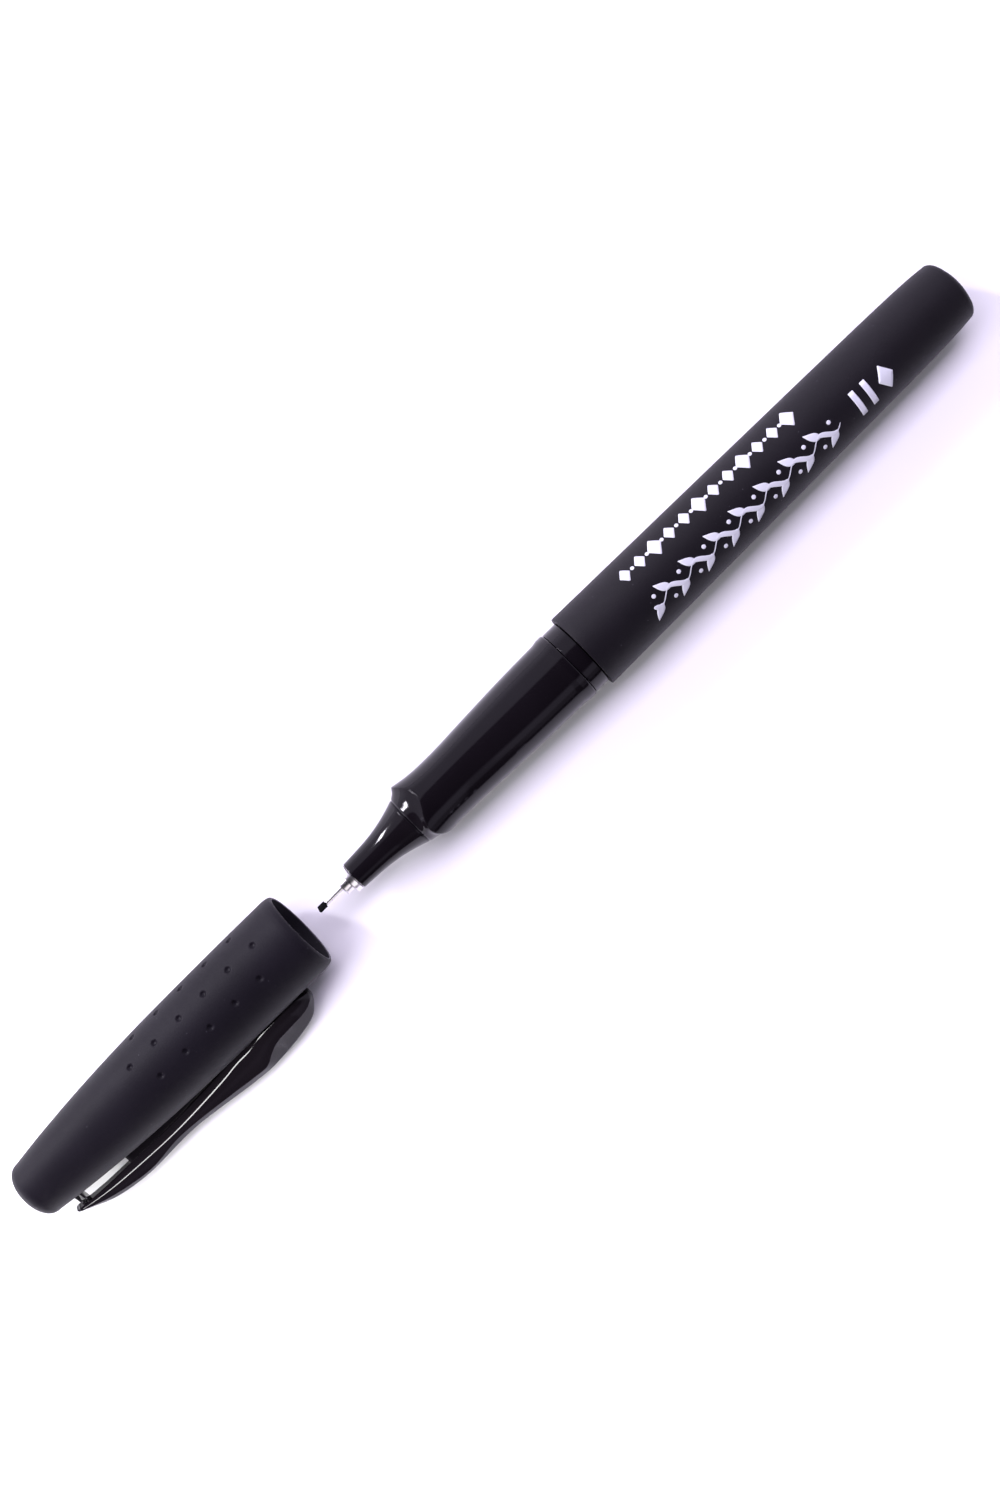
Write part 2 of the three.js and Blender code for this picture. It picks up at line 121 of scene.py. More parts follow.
RIB_SPAN = (20, 45.5)
STEM_HALF = 0.85

# ---- curves -------------------------------------------------------------------------


def spline(points, steps=40):
    """A smooth run through the points, with about the given number of steps to a span."""
    p = np.array(points, float)
    knots = np.concatenate([[0], np.cumsum(np.linalg.norm(np.diff(p, axis=0), axis=1) ** 0.5)])
    slopes = np.gradient(p, knots, axis=0)
    at = np.linspace(0, knots[-1], steps * (len(p) - 1) + 1)
    span = np.clip(np.searchsorted(knots, at, side="right") - 1, 0, len(p) - 2)
    width = (knots[span + 1] - knots[span])[:, None]
    t = (at - knots[span])[:, None] / width
    return (
        (2 * t**3 - 3 * t**2 + 1) * p[span]
        + (t**3 - 2 * t**2 + t) * width * slopes[span]
        + (3 * t**2 - 2 * t**3) * p[span + 1]
        + (t**3 - t**2) * width * slopes[span + 1]
    )


def even(run, spacing):
    """Points about the given spacing apart along a run."""
    length = np.concatenate([[0], np.cumsum(np.linalg.norm(np.diff(run, axis=0), axis=1))])
    at = np.linspace(0, length[-1], max(2, round(length[-1] / spacing) + 1))
    return np.stack([np.interp(at, length, run[:, i]) for i in range(run.shape[1])], axis=1)


def height(points, x):
    run = spline(points)
    return np.interp(x, run[:, 0], run[:, 1])


def fillet(before, corner, after, radius, steps):
    """The arc that rounds one corner of a polyline, as large as its sides allow."""
    a, b = before - corner, after - corner
    la, lb = np.linalg.norm(a), np.linalg.norm(b)
    a, b = a / la, b / lb
    half = math.acos(float(np.clip(a @ b, -1, 1))) / 2
    if half > math.radians(89):
        return [corner] * (steps + 1)
    reach = min(radius / math.tan(half), 0.49 * la, 0.49 * lb)
    centre = corner + (a + b) / np.linalg.norm(a + b) * reach / math.cos(half)
    p, q = corner + a * reach - centre, corner + b * reach - centre
    sweep = math.pi - 2 * half
    weights = [(math.sin((1 - t) * sweep), math.sin(t * sweep)) for t in np.linspace(0, 1, steps + 1)]
    return [centre + (u * p + v * q) / math.sin(sweep) for u, v in weights]


def rounded(points, radius, steps=4, loop=False):
    """A polyline with every corner rounded by the radius, or by its own if given a list."""
    p = np.array(points, float)
    radii = radius if isinstance(radius, (list, tuple)) else [radius] * len(p)
    out = []
    for i, corner in enumerate(p):
        at_end = not loop and i in (0, len(p) - 1)
        if at_end or radii[i] == 0:
            out.append(corner)
        else:
            out.extend(fillet(p[i - 1], corner, p[(i + 1) % len(p)], radii[i], steps))
    return np.array(out)


def arc(cx, cr, radius, first, last, steps=10):
    turn = np.radians(np.linspace(first, last, steps + 1))
    return np.stack([cx + radius * np.cos(turn), cr + radius * np.sin(turn)], axis=1)


def smoothstep(x, low, high):
    t = np.clip((x - low) / (high - low), 0, 1)
    return t * t * (3 - 2 * t)


# ---- meshes -------------------------------------------------------------------------


def make_object(name, vertices, faces):
    mesh = bpy.data.meshes.new(name)
    mesh.from_pydata((np.asarray(vertices, float) * MM).tolist(), [], faces)
    mesh.validate()
    outward = bmesh.new()
    outward.from_mesh(mesh)
    bmesh.ops.recalc_face_normals(outward, faces=outward.faces)
    outward.to_mesh(mesh)
    outward.free()
    mesh.polygons.foreach_set("use_smooth", [True] * len(mesh.polygons))
    piece = bpy.data.objects.new(name, mesh)
    bpy.context.scene.collection.objects.link(piece)
    return piece


def skin(rings, loop=False):
    """A grid of closed rings as one closed mesh. The ends are fanned shut, or joined to each
    other for a loop. A ring whose points all meet becomes one vertex."""
    vertices, rows = [], []
    for ring in rings:
        if np.ptp(ring, axis=0).max() < 1e-7:
            rows.append([len(vertices)] * len(ring))
            vertices.append(ring[0])
        else:
            rows.append(list(range(len(vertices), len(vertices) + len(ring))))
            vertices.extend(ring)
    faces = []
    pairs = list(zip(rows, rows[1:]))
    if loop:
        pairs.append((rows[-1], rows[0]))
    count = len(rows[0])
    for low, high in pairs:
        for j in range(count):
            k = (j + 1) % count
            face = list(dict.fromkeys([low[j], high[j], high[k], low[k]]))
            if len(face) > 2:
                faces.append(face)
    if not loop:
        for row, flip in ((rows[0], 1), (rows[-1], -1)):
            if row[0] != row[1]:
                faces.append(row[::flip])
    return vertices, faces


def turned(name, origin, outline, loop=True, segments=192, shape=None):
    """A body turned about the pen's axis. loop joins the outline's ends; otherwise they lie
    on the axis. shape moves the points of each column, given the outline and the angle."""
    columns = []
    for angle in 2 * math.pi * np.arange(segments) / segments:
        points = shape(outline, angle) if shape else outline
        r = points[:, 1] * INSIDE_FACETS
        columns.append(np.stack([points[:, 0] + origin, r * math.sin(angle), r * math.cos(angle)], axis=1))
    return make_object(name, *skin(np.array(columns).transpose(1, 0, 2), loop))


def around_cap(points):
    """Turns points drawn as (x from the mouth, across, outwards) to the clip's side."""
    c, s = math.cos(CLIP_ANGLE), math.sin(CLIP_ANGLE)
    x, across, out = np.moveaxis(np.asarray(points, float), -1, 0)
    return np.stack([x + MOUTH, across * c + out * s, out * c - across * s], axis=-1)


def lofted(name, sections):
    return make_object(name, *skin(around_cap(sections)))


def dress(piece, material, body, slot, *nodes):
    piece.data.materials.append(material)
    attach(piece, body)
    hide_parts(*nodes)


# ---- the pen ------------------------------------------------------------------------


def barrel():
    rim = arc(1.3, 5.5 - BARREL_RIM, BARREL_RIM, 180, 90)
    outside = even(spline(BARREL_OUTLINE), 0.8)[1:]
    front = rounded([(80, 6.905), (BARREL_FRONT, 6.92), (BARREL_FRONT, 5.35), *BARREL_BORE, rim[0]],
                    [0, 0.07, 0.1, 0, 0.05, 0.12, 0])
    outline = np.concatenate([rim, outside[:-2], front[1:-1]])
    return turned("barrel_shell", TAIL, outline, segments=288)


def tail_plug():
    outline = rounded(PLUG_OUTLINE, [0, 0.3, 0.1, 0.1, 0.2, 0])
    return turned("tail_plug_moulding", TAIL, outline, loop=False)


def front_section():
    start, outer, inner = SPIGOT
    back, front, land = LAND
    core_end, core = CORE
    nose = even(spline(NOSE_OUTLINE), 0.25)
    outside = rounded([(start, inner), (start, outer), (back, outer), (back, land), (front, land),
                       (front, core), (core_end, core), tuple(nose[0])],
                      [0, 0.3, 0.05, 0.1, 0.1, 0.05, 0.05, 0])
    inside = rounded([tuple(nose[-2]), (131.1, 2.45), (131.1, 2.0), (125.8, 2.0), (125.8, 1.15),
                      (78.6, 1.15), (78.6, inner), (start, inner)],
                     [0, 0.12, 0.08, 0.1, 0.1, 0.1, 0.2, 0])
    return turned("front_section_moulding", TAIL, np.concatenate([outside[1:-1], nose[:-2], inside]))


def shape_grip(outline, angle):
    """Swells the three ridges and draws the front edge back where each ridge meets it. The
    skirt in front of the edge follows it less and less."""
    x, r = outline[:, 0].copy(), outline[:, 1].copy()
    wave = math.cos(SIDES * (angle - RIDGE_ANGLE))
    notch = (1 + wave) / 2
    edge = GRIP_EDGE[0]
    reach = np.clip((x - SETBACK_FROM) / (edge - SETBACK_FROM), 0, 1)
    free = 1 - np.clip((x - edge) / (GRIP_FRONT - edge), 0, 1)
    free *= r > (GRIP_BORE + SKIRT_RADIUS) / 2
    bump = RIDGE_HEIGHT * smoothstep(x, *RIDGE_SPAN) * wave * (1 - reach**4)
    x -= SETBACK * notch * reach**2 * free
    r += bump * (free > 0) - RIDGE_DROP * notch * reach**4 * free
    return np.stack([x, r], axis=1)


def grip_sleeve():
    sweep = even(spline(GRIP_OUTLINE), 0.3)
    skirt = even(spline(SKIRT_OUTLINE), 0.15)
    bead = rounded([(GRIP_REAR, GRIP_BORE), (GRIP_REAR, GRIP_BEAD), (85.25, GRIP_BEAD), tuple(sweep[0])],
                   [0, 0.35, 0.4, 0], steps=6)
    edge = rounded([tuple(sweep[-3]), GRIP_EDGE, tuple(skirt[3])], [0, EDGE_ROUND, 0], steps=6)
    front = [(GRIP_FRONT, SKIRT_RADIUS), (GRIP_FRONT, GRIP_BORE)]
    outline = np.concatenate([bead[:-1], sweep[:-3], edge, skirt[4:-1], front])
    return turned("grip_sleeve_moulding", TAIL, outline, segments=288, shape=shape_grip)


def nib_ferrule():
    corners = [(126.1, 1.05), (126.1, 1.88), (131.25, 1.88), (131.25, 2.35), (132.3, 2.35), (132.3, 1.5),
               (133.7, 1.5), (133.7, 0.52), (129.6, 0.52), (129.6, 1.05)]
    outline = rounded(corners, [0.05, 0.25, 0.05, 0.1, 0.22, 0.08, 0.25, 0.08, 0.05, 0.05], loop=True)
    return turned("nib_ferrule_turning", TAIL, outline)


def nib_tube():
    corners = [(129.7, 0.45), (137.2, 0.45), (137.2, 0.31), (129.7, 0.31)]
    outline = rounded(corners, [0.02, 0.07, 0.03, 0.02], loop=True)
    return turned("nib_tube_drawn", TAIL, outline, segments=64)


def nib():
    """A slant-cut writing edge on a round rod, with softened felt edges."""
    corners = [(137.35, -0.5), (138.66, -0.5), (138.9, 0.35), (138.75, 0.5), (137.35, 0.5)]
    outline = rounded(corners, [0.05, 0.12, 0.12, 0.12, 0.05], loop=True)
    middle = outline.mean(axis=0)
    half = 0.31
    layers = [(-half, 0.88), (-0.27, 0.96), (-0.2, 1), (0.2, 1), (0.27, 0.96), (half, 0.88)]
    roll = math.radians(20)
    rings = []
    for level, scale in layers:
        flat = middle + (outline - middle) * scale
        y = flat[:, 1] * math.cos(roll) - level * math.sin(roll)
        z = flat[:, 1] * math.sin(roll) + level * math.cos(roll)
        rings.append(np.stack([flat[:, 0] + TAIL, y, z], axis=1))
    vertices, faces = skin(rings)
    rod = [(129.9, 0), (129.9, 0.22), (137.45, 0.22), (137.45, 0)]
    rod_rings = []
    for x, r in rod:
        turn = np.linspace(0, 2 * math.pi, 24, endpoint=False)
        rod_rings.append(np.stack([np.full(24, x + TAIL), r * np.sin(turn), r * np.cos(turn)], axis=1))
    more, more_faces = skin(rod_rings)
    faces += [[i + len(vertices) for i in face] for face in more_faces]
    return make_object("nib_chisel", vertices + more, faces)


# ---- the cap ------------------------------------------------------------------------


def cap_outside():
    shoulder_x, shoulder_r = CAP_OUTLINE[-1]
    turn = np.linspace(0, math.pi / 2, 17)[1:]
    reach = (CAP_LENGTH - shoulder_x) * np.sin(turn) ** DOME_FULLNESS
    dome = np.stack([shoulder_x + reach, shoulder_r * np.cos(turn)], axis=1)
    dome[-1, 1] = 0
    return np.concatenate([even(spline(CAP_OUTLINE), 0.14), dome])


def dimple_centres():
    """(x, angle) of each pit, in five columns with every other one half a pitch along."""
    centres = []
    for column in range(-2, 3):
        offset = column % 2 == 0
        first = DIMPLE_FIRST + (DIMPLE_PITCH / 2 if offset else 0)
        for row in range(DIMPLE_ROWS + (0 if offset else 1)):
            centres.append((first + DIMPLE_PITCH * row, DIMPLE_ANGLE + column * DIMPLE_STEP))
    return centres


def press_dimples(outline, angle):
    x, r = outline[:, 0], outline[:, 1].copy()
    outer = np.arange(len(x)) > len(CAP_INSIDE)
    for centre, place in dimple_centres():
        across = 7.2 * math.remainder(angle - place, 2 * math.pi)
        if abs(across) < DIMPLE_RADIUS:
            depth = 1 - ((x - centre) ** 2 + across**2) / DIMPLE_RADIUS**2
            r -= DIMPLE_DEPTH * np.sqrt(np.clip(depth, 0, 1)) * outer
    return np.stack([x, r], axis=1)


def cap_shell():
    outside = cap_outside()
    face = [(0, CAP_LIP - 0.1), (0, CAP_LIP), (0.25, 6.98), (0.8, 7.18)]
    lip = rounded([CAP_INSIDE[-1], *face, tuple(outside[0])], [0, 0.1, 0.1, 0.2, 0.3, 0], steps=2)
    outline = np.concatenate([CAP_INSIDE, lip[1:-1], outside])
    return turned("cap_shell_moulding", MOUTH, outline, loop=False, segments=360, shape=press_dimples)


def mouth_edge():
    """The thin bead on the lip's inner edge, coloured pale: a painted highlight standing in for the lit
    rim.
    """
    return turned("cap_mouth_edge", MOUTH, arc(LIP_BEAD, CAP_LIP - LIP_BEAD, LIP_BEAD, 0, 345, steps=23))


def cap_liner():
    outline = rounded(LINER_OUTLINE, [0, 0.3, 0.3, 0.2, 0.4, 0.8, 0.8, 0.15, 0.15, 0.2, 0.1, 0.1, 0])
    return turned("cap_liner_moulding", MOUTH, outline, loop=False)


def clip_section(x):
    """The arm's closed section at x, as (across, outwards) points."""
    half, inner = height(CLIP_HALF, x), height(CLIP_INNER, x)
    crown = height(CLIP_CROWN, x)
    ridge = min(height(CLIP_RIDGE, x), crown - 0.12)
    bevel = min(height(CLIP_BEVEL, x), (ridge - inner) / 2)
    shoulder = crown - 0.15 * (crown - ridge)
    flank = ridge - inner - bevel
    edge = half - BEVEL_LEAN * bevel
    right = [(edge, inner), (half, inner + bevel), (half + FLANK_BULGE * flank, ridge - flank / 2),
             (half, ridge), (half / 2, shoulder), (0, crown)]
    left = [(-a, o) for a, o in right[-2::-1]]
    under = [(t * edge, inner) for t in (-0.6, -0.2, 0.2, 0.6)]
    radii = [0.2, 0.8, 20, 0.2, 0.8]
    radii = [*radii, 0.4, *radii[::-1], *[0] * len(under)]
    section = rounded(right + left + under, radii, steps=6, loop=True)
    clear = height(CAP_OUTLINE, x) + CLIP_GAP
    floor = np.sqrt(np.maximum(clear**2 - section[:, 0] ** 2, 0))
    section[:, 1] = np.maximum(section[:, 1], floor)
    return section


def clip_arm():
    first, last = CLIP_SPAN
    nose = np.array([0.02, 0.08, 0.2, 0.4, 0.7])
    stations = np.concatenate([first + nose, np.arange(first + 1, last - 0.5, 0.4), last - nose[::-1]])
    sections = []
    for x in stations:
        section = clip_section(x)
        middle = section.mean(axis=0)
        depth = min(x - first, last - x) / 0.75
        scale = 1 if depth >= 1 else 0.45 + 0.55 * math.sqrt(1 - (1 - depth) ** 2)
        section = middle + (section - middle) * scale
        sections.append(np.column_stack([np.full(len(section), x), section]))
    return lofted("clip_arm_moulding", sections)


def clip_rib():
    first, last = RIB_SPAN
    sections = []
    for x in np.linspace(first, last, 52):
        low = height(CAP_OUTLINE, x) + CLIP_GAP
        high = height(CLIP_INNER, x) + 0.55
        corners = [(RIB_HALF, low), (RIB_HALF, high), (-RIB_HALF, high), (-RIB_HALF, low)]
        flat = rounded(corners, 0.12, loop=True)
        sections.append(np.column_stack([np.full(len(flat), x), flat]))
    return lofted("clip_rib_moulding", sections)


def clip_stem():
    """The base in the cap's wall and the two thin ribs that carry the arm."""
    vertices, faces = [], []
    for x0, x1, low, high in [(53.9, 55.6, 4.15, 5.0), (54.1, 54.5, 4.5, 7.85), (54.95, 55.4, 4.5, 7.85)]:
        corners = [(x0, -STEM_HALF), (x1, -STEM_HALF), (x1, STEM_HALF), (x0, STEM_HALF)]
        side = rounded(corners, 0.1, loop=True)
        rings = [np.column_stack([side, np.full(len(side), level)]) for level in (low, high)]
        block, block_faces = skin(around_cap(rings))
        faces += [[i + len(vertices) for i in face] for face in block_faces]
        vertices += block
    return make_object("clip_stem_moulding", vertices, faces)


# ---- the print: a broad-nib vine, a line sample and a row of lozenges -----------------

PRINT_LIFT = 0.018
PRINT_DEPTH = 0.04
PEN_ANGLE = math.radians(38)
VINE_ANGLE = 26


def on_barrel(points, x0, centre, lift):
    """Wraps flat (along, around) points onto the barrel, from x0 and about a centre line."""
    p = np.asarray(points, float)
    x = p[..., 0] + x0
    r = np.interp(x, *spline(BARREL_OUTLINE).T) * INSIDE_FACETS
    angle = math.radians(centre) + p[..., 1] / r
    return np.stack([x + TAIL, (r + lift) * np.sin(angle), (r + lift) * np.cos(angle)], axis=-1)


def stroke(path, width, x0, centre):
    """A ribbon as thick as a broad nib held at PEN_ANGLE would draw along the path."""
    slope = np.gradient(path, axis=0)
    slope /= np.linalg.norm(slope, axis=1)[:, None]
    turn = np.arctan2(slope[:, 1], slope[:, 0]) - PEN_ANGLE
    wide = np.maximum(0.17, width * np.abs(np.sin(turn)))
    fade = np.minimum(1, np.minimum(np.arange(len(path)), np.arange(len(path))[::-1]) / 5)
    wide *= 0.2 + 0.8 * np.sqrt(fade)
    normal = np.stack([-slope[:, 1], slope[:, 0]], axis=1)
    across = np.linspace(-0.5, 0.5, 6)
    flat = path[:, None] + normal[:, None] * wide[:, None, None] * across[None, :, None]
    top = on_barrel(flat, x0, centre, PRINT_LIFT)
    bottom = on_barrel(flat[:, ::-1], x0, centre, -PRINT_DEPTH)
    return skin(list(np.concatenate([top, bottom], axis=1)))


def patch(outline, x0, centre):
    """A filled shape that follows the barrel's curve."""
    outline = even(np.concatenate([outline, outline[:1]]), 0.12)[:-1]
    middle = outline.mean(axis=0)
    layers = [(0, -PRINT_DEPTH), (1, -PRINT_DEPTH), (1, PRINT_LIFT), (0.66, PRINT_LIFT), (0.33, PRINT_LIFT),
              (0, PRINT_LIFT)]
    rings = [on_barrel(middle + (outline - middle) * scale, x0, centre, lift) for scale, lift in layers]
    return skin(rings)


def joined(name, parts):
    vertices, faces = [], []
    for more, more_faces in parts:
        faces += [[i + len(vertices) for i in face] for face in more_faces]
        vertices += list(more)
    return make_object(name, vertices, faces)


def leaf(x, y, reach, rise, width):
    """A pointed leaf that grows from (x, y), along by reach and across by rise."""
    t = np.linspace(0, 1, 14)
    vein = np.stack([x + reach * t, y + rise * t**1.5], axis=1)
    slope = np.gradient(vein, axis=0)
    normal = np.stack([-slope[:, 1], slope[:, 0]], axis=1) / np.linalg.norm(slope, axis=1)[:, None]
    swell = 0.5 * width * np.sin(math.pi * t**0.8)[:, None]
    return np.concatenate([vein + normal * swell, (vein - normal * swell)[-2:0:-1]])


def vine():
    """A waving pen-drawn stem with a leaf and a berry for every crest and trough."""
    start, pitch, crests, sway = 28.6, 2.7, 15, 0.75
    x = np.arange(0, pitch * crests, 0.1)
    stem = np.stack([x, sway * np.sin(math.pi * x / pitch)], axis=1)
    parts = [stroke(stem, 0.85, start, VINE_ANGLE)]
    for i in range(crests):
        side = 1 if i % 2 == 0 else -1
        crest = pitch * (i + 0.35)
        parts.append(patch(leaf(crest, 0.9 * sway * side, 2.3, 1.95 * side, 1.35), start, VINE_ANGLE))
        parts.append(patch(dot(crest + 0.5, -1.3 * side, 0.36), start, VINE_ANGLE))
    return joined("print_vine", parts)


def line_sample():
    """A lozenge and two short lines as wide as the nib."""
    lozenge = [(0, 0), (1.5, 2.3), (3, 0), (1.5, -2.3)]
    lines = [[(x, -2.3), (x, 2.3), (x + 1, 2.3), (x + 1, -2.3)] for x in (4.4, 6.8)]
    shapes = [rounded(shape, 0.1, loop=True) for shape in (lozenge, *lines)]
    return joined("print_line_sample", [patch(shape, 17.2, VINE_ANGLE) for shape in shapes])


def dot(x, y, radius):
    turn = np.linspace(0, 2 * math.pi, 20, endpoint=False)
    return np.stack([x + radius * np.sin(turn), y + radius * np.cos(turn)], axis=1)


def lozenge_row():
    start, pitch, count, angle = 34.0, 3.15, 12, -33
    parts = []
    for i in range(count):
        half = 1.4 if i % 3 else 1.85
        lozenge = rounded([(-0.75 * half, 0), (0, half), (0.75 * half, 0), (0, -half)], 0.12, loop=True)
        parts.append(patch(lozenge, start + pitch * i, angle))
    for i in range(count - 1):
        parts.append(patch(dot(pitch / 2, 0, 0.34), start + pitch * i, angle))
    return joined("print_lozenges", parts)


# ---- materials ----------------------------------------------------------------------

RUBBED = (0.5, 0.5, 0.55)


class Graph:
    """A short way to add nodes to a tree: values and sockets are given by input name."""

    def __init__(self, tree):
        self.tree = tree
        self.tree.nodes.clear()

    def add(self, kind, settings=None, **inputs):
        node = self.tree.nodes.new(kind)
        for key, value in (settings or {}).items():
            setattr(node, key, value)
        for key, value in inputs.items():
            self.put(node, key.replace("_", " "), value)
        return node

    def put(self, node, name, value):
        socket = node.inputs[int(name)] if name.isdigit() else node.inputs[name]
        if isinstance(value, bpy.types.NodeSocket):
            self.tree.links.new(value, socket)
        else:
            socket.default_value = value

    def math(self, operation, a, b):
        node = self.tree.nodes.new("ShaderNodeMath")
        node.operation = operation
        self.put(node, "0", a)
        self.put(node, "1", b)
        return node.outputs[0]

    def noise(self, vector, per_metre, detail, roughness=0.5):
        node = self.add("ShaderNodeTexNoise", Vector=vector, Scale=per_metre, Detail=detail,
                        Roughness=roughness)
        return node.outputs["Fac"]

    def between(self, fac, low, high, from_low=0.0, from_high=1.0, smooth=False):
        node = self.add("ShaderNodeMapRange", {"clamp": True}, Value=fac)
        if smooth:
            node.interpolation_type = "SMOOTHSTEP"
        values = {"From Min": from_low, "From Max": from_high, "To Min": low, "To Max": high}
        for name, value in values.items():
            node.inputs[name].default_value = value
        return node.outputs["Result"]

    def dust(self, vector):
        """Tiny round specks, in about one millimetre cell in five."""
        cells = self.add("ShaderNodeTexVoronoi", Vector=vector, Scale=900.0)
        chance = self.add("ShaderNodeSeparateColor", Color=cells.outputs["Color"]).outputs[0]
        rare = self.between(chance, 0, 1, 0.78, 0.8)
        return self.math("MULTIPLY", rare, self.between(cells.outputs["Distance"], 1, 0, 0.03, 0.09))

    def mix(self, fac, a, b):
        node = self.tree.nodes.new("ShaderNodeMix")
        node.data_type = "RGBA"
        self.put(node, "0", fac)
        self.put(node, "6", a)
        self.put(node, "7", b)
        return node.outputs[2]


def rgb(color, scale=1.0):
    return (*[channel * scale for channel in color], 1.0)


def moulded(name, color, roughness, grain, depth, spread=0.25, metallic=0.0, wear=0.06,
            specular=0.5, haze=0.1, stretch=(1, 1, 1), specks=0.0, pits=0.0):
    """A surface with slow colour drift, fine grain in its relief and gloss, and edges that
    handling has polished paler. grain is in grains per metre and depth in metres. specks is
    how pale its dust is, and pits how much smoother its hollows are."""
    made = bpy.data.materials.new(name)
    made.use_nodes = True
    g = Graph(made.node_tree)
    where = g.add("ShaderNodeMapping", Vector=g.add("ShaderNodeTexCoord").outputs["Object"])
    where.inputs["Scale"].default_value = stretch
    place = where.outputs["Vector"]
    drift = g.noise(place, 90, 3)
    fine = g.noise(place, grain, 3, 0.6)
    scuff = g.noise(place, grain / 9, 4, 0.65)
    edge = g.add("ShaderNodeNewGeometry").outputs["Pointiness"]
    worn = g.math("MULTIPLY", g.between(edge, 0, 1, 0.53, 0.62), g.between(scuff, 0.3, 1, 0.35, 0.6))
    base = g.mix(drift, rgb(color, 1 - spread), rgb(color, 1 + spread))
    base = g.mix(g.math("MULTIPLY", worn, wear), base, rgb(RUBBED))
    if specks:
        base = g.mix(g.math("MULTIPLY", g.dust(place), specks), base, rgb(RUBBED))
    gloss = g.math("ADD", roughness - haze / 2, g.math("MULTIPLY", g.math("ADD", fine, scuff), haze / 2))
    if pits:
        gloss = g.math("SUBTRACT", gloss, g.between(edge, pits, 0, 0.42, 0.49))
    bump = g.add("ShaderNodeBump", Height=fine, Distance=depth, Strength=1.0)
    shader = g.add("ShaderNodeBsdfPrincipled", Roughness=gloss, Metallic=metallic,
                   Normal=bump.outputs["Normal"])
    g.put(shader, "Base Color", base)
    shader.inputs["Specular IOR Level"].default_value = specular
    output = g.add("ShaderNodeOutputMaterial")
    g.put(output, "Surface", shader.outputs["BSDF"])
    return made


def matte_black():
    return moulded("matte_black_grain", (0.0066, 0.0054, 0.0076), 0.56, 5200, 3.5e-5, spread=0.35,
                   specular=0.27, specks=0.1)


def cap_black():
    return moulded("cap_black_grain", (0.0062, 0.0052, 0.0078), 0.56, 5200, 3.5e-5, spread=0.35,
                   specular=0.2, wear=0.14, specks=0.08, pits=0.3)


# A pale finish that paints the lit rim's highlight onto the mouth bead.
def painted_rim_highlight():
    return moulded("painted_rim_highlight", (0.09, 0.085, 0.1), 0.35, 4000, 3e-6, spread=0.4, wear=0)


def gloss_black():
    return moulded("gloss_black_polish", (0.0045, 0.0035, 0.0048), 0.1, 3500, 4e-7, wear=0.03,
                   haze=0.04, specular=0.26)


def bright_steel():
    return moulded("bright_turned_steel", (0.9, 0.86, 0.88), 0.28, 2500, 3e-7, spread=0.06, metallic=1.0,
                   wear=0.2, stretch=(9, 1, 1))


def felt():
    return moulded("nib_felt_pores", (0.004, 0.004, 0.0045), 0.8, 16000, 1.2e-5, wear=0, specular=0.12)


def fibre():
    return moulded("ink_fibre_bundle", (0.03, 0.028, 0.04), 0.9, 9000, 2e-5, wear=0, stretch=(0.06, 1, 1))


def film():
    return moulded("clear_film_wrap", (0.7, 0.71, 0.74), 0.25, 1500, 1e-6, spread=0.1, wear=0)


def liner():
    return moulded("liner_soft_black", (0.012, 0.012, 0.015), 0.35, 5000, 1e-6)


def print_white():
    return moulded("print_white_ink", (0.62, 0.63, 0.68), 0.55, 9000, 2e-6, spread=0.12, wear=0)


# ---- floor, light and camera --------------------------------------------------------

FLOOR_HALF = 1.2
CLIP_REST = 14
TENT_COLOR = (0.97, 0.92, 1.15)
WHITE = (1.0, 1.0, 1.0)
LAVENDER = (0.84, 0.76, 1.0)


def floor():
    """A pale sheet that the barrel's front edge and the clip rest on."""
    barrel_low, barrel_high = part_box("barrel")
    clip_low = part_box("clip_arm")[0]
    run = (MOUTH + CLIP_REST) * MM - barrel_high.x
    tilt = (clip_low.z - barrel_low.z) / run
    half = FLOOR_HALF
    corners = [(-half, -half), (half, -half), (half, half), (-half, half)]
    low = barrel_low.z - tilt * barrel_high.x
    mesh = bpy.data.meshes.new("floor")
    mesh.from_pydata([(x, y, low + tilt * x) for x, y in corners], [], [(0, 1, 2, 3)])
    sheet = bpy.data.objects.new("floor", mesh)
    bpy.context.scene.collection.objects.link(sheet)
    paper = moulded("floor_paper", (0.9, 0.895, 0.9), 0.7, 900, 1e-6, spread=0.01, wear=0)
    sheet.data.materials.append(paper)


def surroundings():
    """A white tent, dimmer on the +Y side, with a dark opening overhead along the pen."""
    world = bpy.data.worlds.new("white_tent")
    bpy.context.scene.world = world
    world.use_nodes = True
    g = Graph(world.node_tree)
    direction = g.add("ShaderNodeSeparateXYZ", Vector=g.add("ShaderNodeTexCoord").outputs["Generated"])
    x, y, z = direction.outputs
    side = g.math("ARCTAN2", y, z)

    def ramp(low, high, first, last):
        return g.between(side, low, high, math.radians(first), math.radians(last), smooth=True)

    left = g.math("MULTIPLY", ramp(1.3, 0.8, -85, -65), ramp(1.0, 0.0, -31, -26))
    right = g.math("MULTIPLY", ramp(0.0, 0.12, 46, 52), ramp(1.0, 0.2, 60, 70))
    tail_end = g.between(x, 0.8, 0.0, -0.75, -0.5, smooth=True)
    cap_end = g.between(x, 0.0, 0.1, 0.55, 0.8, smooth=True)
    level = g.math("MAXIMUM", g.math("MAXIMUM", left, right), g.math("MAXIMUM", tail_end, cap_end))
    red, green, blue = [g.math("MULTIPLY", level, channel) for channel in TENT_COLOR]
    tint = g.add("ShaderNodeCombineXYZ", X=red, Y=green, Z=blue)
    background = g.add("ShaderNodeBackground", Color=tint.outputs["Vector"], Strength=1.0)
    g.put(g.add("ShaderNodeOutputWorld"), "Surface", background.outputs["Background"])


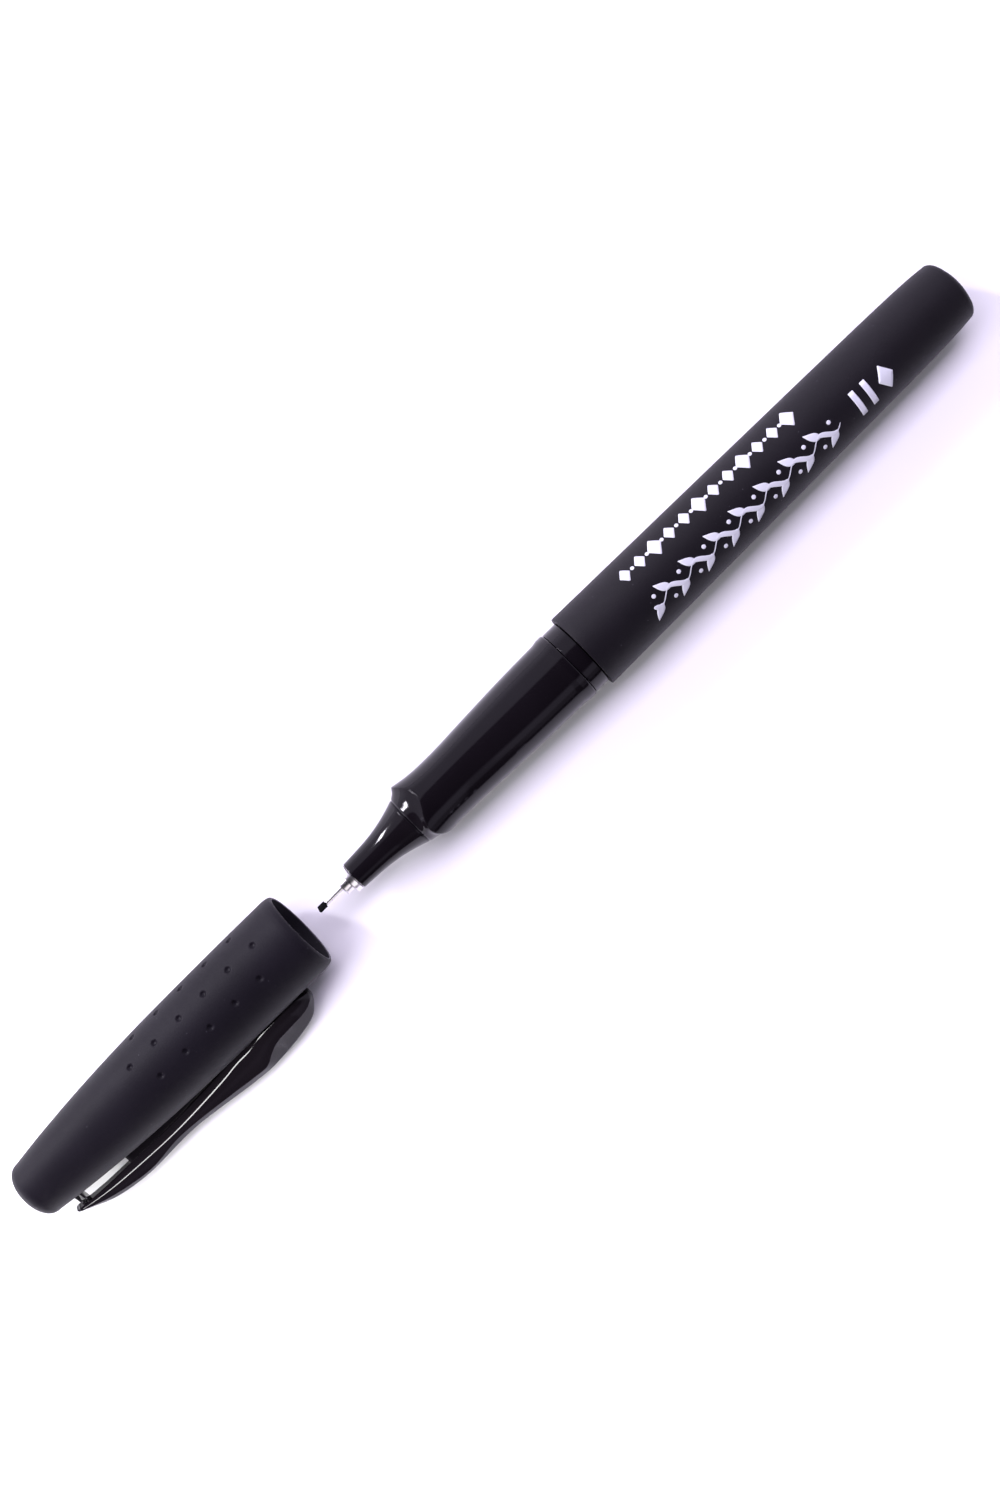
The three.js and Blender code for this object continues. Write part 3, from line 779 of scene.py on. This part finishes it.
def lamp(name, place, target, size, radiance, color, glossy=True):
    """A soft box of the given sides, facing the target. radiance is its brightness."""
    light = bpy.data.lights.new(name, "AREA")
    light.shape = "RECTANGLE"
    light.size, light.size_y = size
    light.energy = radiance * math.pi * size[0] * size[1]
    light.color = color
    holder = bpy.data.objects.new(name, light)
    bpy.context.scene.collection.objects.link(holder)
    holder.location = place
    away = Vector(place) - Vector(target)
    holder.rotation_euler = away.to_track_quat("Z", "Y").to_euler()
    holder.visible_glossy = glossy
    return holder


def light_only(holder, *pieces):
    """Makes a lamp light these pieces and nothing else."""
    lit = bpy.data.collections.new(holder.name + "_lights")
    for piece in pieces:
        lit.objects.link(piece)
    holder.light_linking.receiver_collection = lit


def camera():
    """Straight overhead, turned so that the tail points up and to the right."""
    data = bpy.data.cameras.new("camera")
    data.lens = 45.6
    data.sensor_width = 36
    holder = bpy.data.objects.new("camera", data)
    bpy.context.scene.collection.objects.link(holder)
    holder.location = (0.10107, 0.00198, 0.297)
    holder.rotation_euler = (0, 0, math.radians(135.45))
    bpy.context.scene.camera = holder


# ---- the marker ---------------------------------------------------------------------

matte, gloss, steel, black_felt, ink, white = (
    matte_black(), gloss_black(), bright_steel(), felt(), fibre(), print_white())
dress(barrel(), matte, "pen", "matte_black", "barrel")
dress(tail_plug(), matte, "pen", "matte_black", "tail_plug")
front, grip, ferrule, tube = front_section(), grip_sleeve(), nib_ferrule(), nib_tube()
dress(front, gloss, "pen", "gloss_black", "front_section")
dress(grip, gloss, "pen", "gloss_black", "grip_sleeve")
dress(ferrule, steel, "pen", "bright_steel", "nib_ferrule")
dress(tube, steel, "pen", "bright_steel", "nib_tube")
dress(nib(), black_felt, "pen", "nib_felt", "nib")
for mark in (vine(), line_sample(), lozenge_row()):
    dress(mark, white, "pen", "white_print")
dress(cap_shell(), cap_black(), "cap", "matte_black", "cap_shell")
# The mouth bead's pale finish is a painted highlight of the lit rim.
dress(mouth_edge(), painted_rim_highlight(), "cap", "matte_black")
dress(cap_liner(), liner(), "cap", "liner_plastic", "cap_liner")
dress(clip_stem(), gloss, "cap", "gloss_black", "clip_stem")
arm = clip_arm()
dress(arm, gloss, "clip", "gloss_black", "clip_arm")
dress(clip_rib(), gloss, "clip", "gloss_black")

for node, look in (("ink_reservoir", ink), ("feed_wick", ink), ("reservoir_film", film())):
    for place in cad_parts[node].material_slots:
        place.material = look

floor()
surroundings()
lamp("key", (0.54, -0.8, 0.52), (0.12, 0, 0), (0.09, 0.28), 88, (0.93, 0.9, 1.0))
lamp("overhead", (0.1, -0.23, 0.6), (0.1, 0, 0), (1.2, 0.3), 5.9, LAVENDER, glossy=False)
lamp("fill", (-0.05, 0.5, 0.25), (0.06, 0, 0), (0.4, 0.35), 0.3, LAVENDER)
lamp("under_clip", (0.35, 0.02, 0.05), (0.19, 0.006, -0.007), (0.1, 0.08), 30, WHITE, glossy=False)
clip_glint = lamp("clip_glint", (0.43, 0.16, 0.6), (0.17, 0.009, 0), (0.24, 0.2), 42, WHITE)
light_only(clip_glint, arm)
steel_box = lamp("steel_box", (0.05, 0.52, 0.47), (0.05, 0, 0), (0.8, 0.5), 1.3, (1.0, 0.96, 1.0))
light_only(steel_box, ferrule, tube)
grip_side = lamp("grip_side", (0.06, 0.62, 0.42), (0.06, 0, 0), (0.9, 0.3), 0.3, LAVENDER)
light_only(grip_side, front, grip)
camera()
bpy.context.scene.view_settings.view_transform = "Standard"
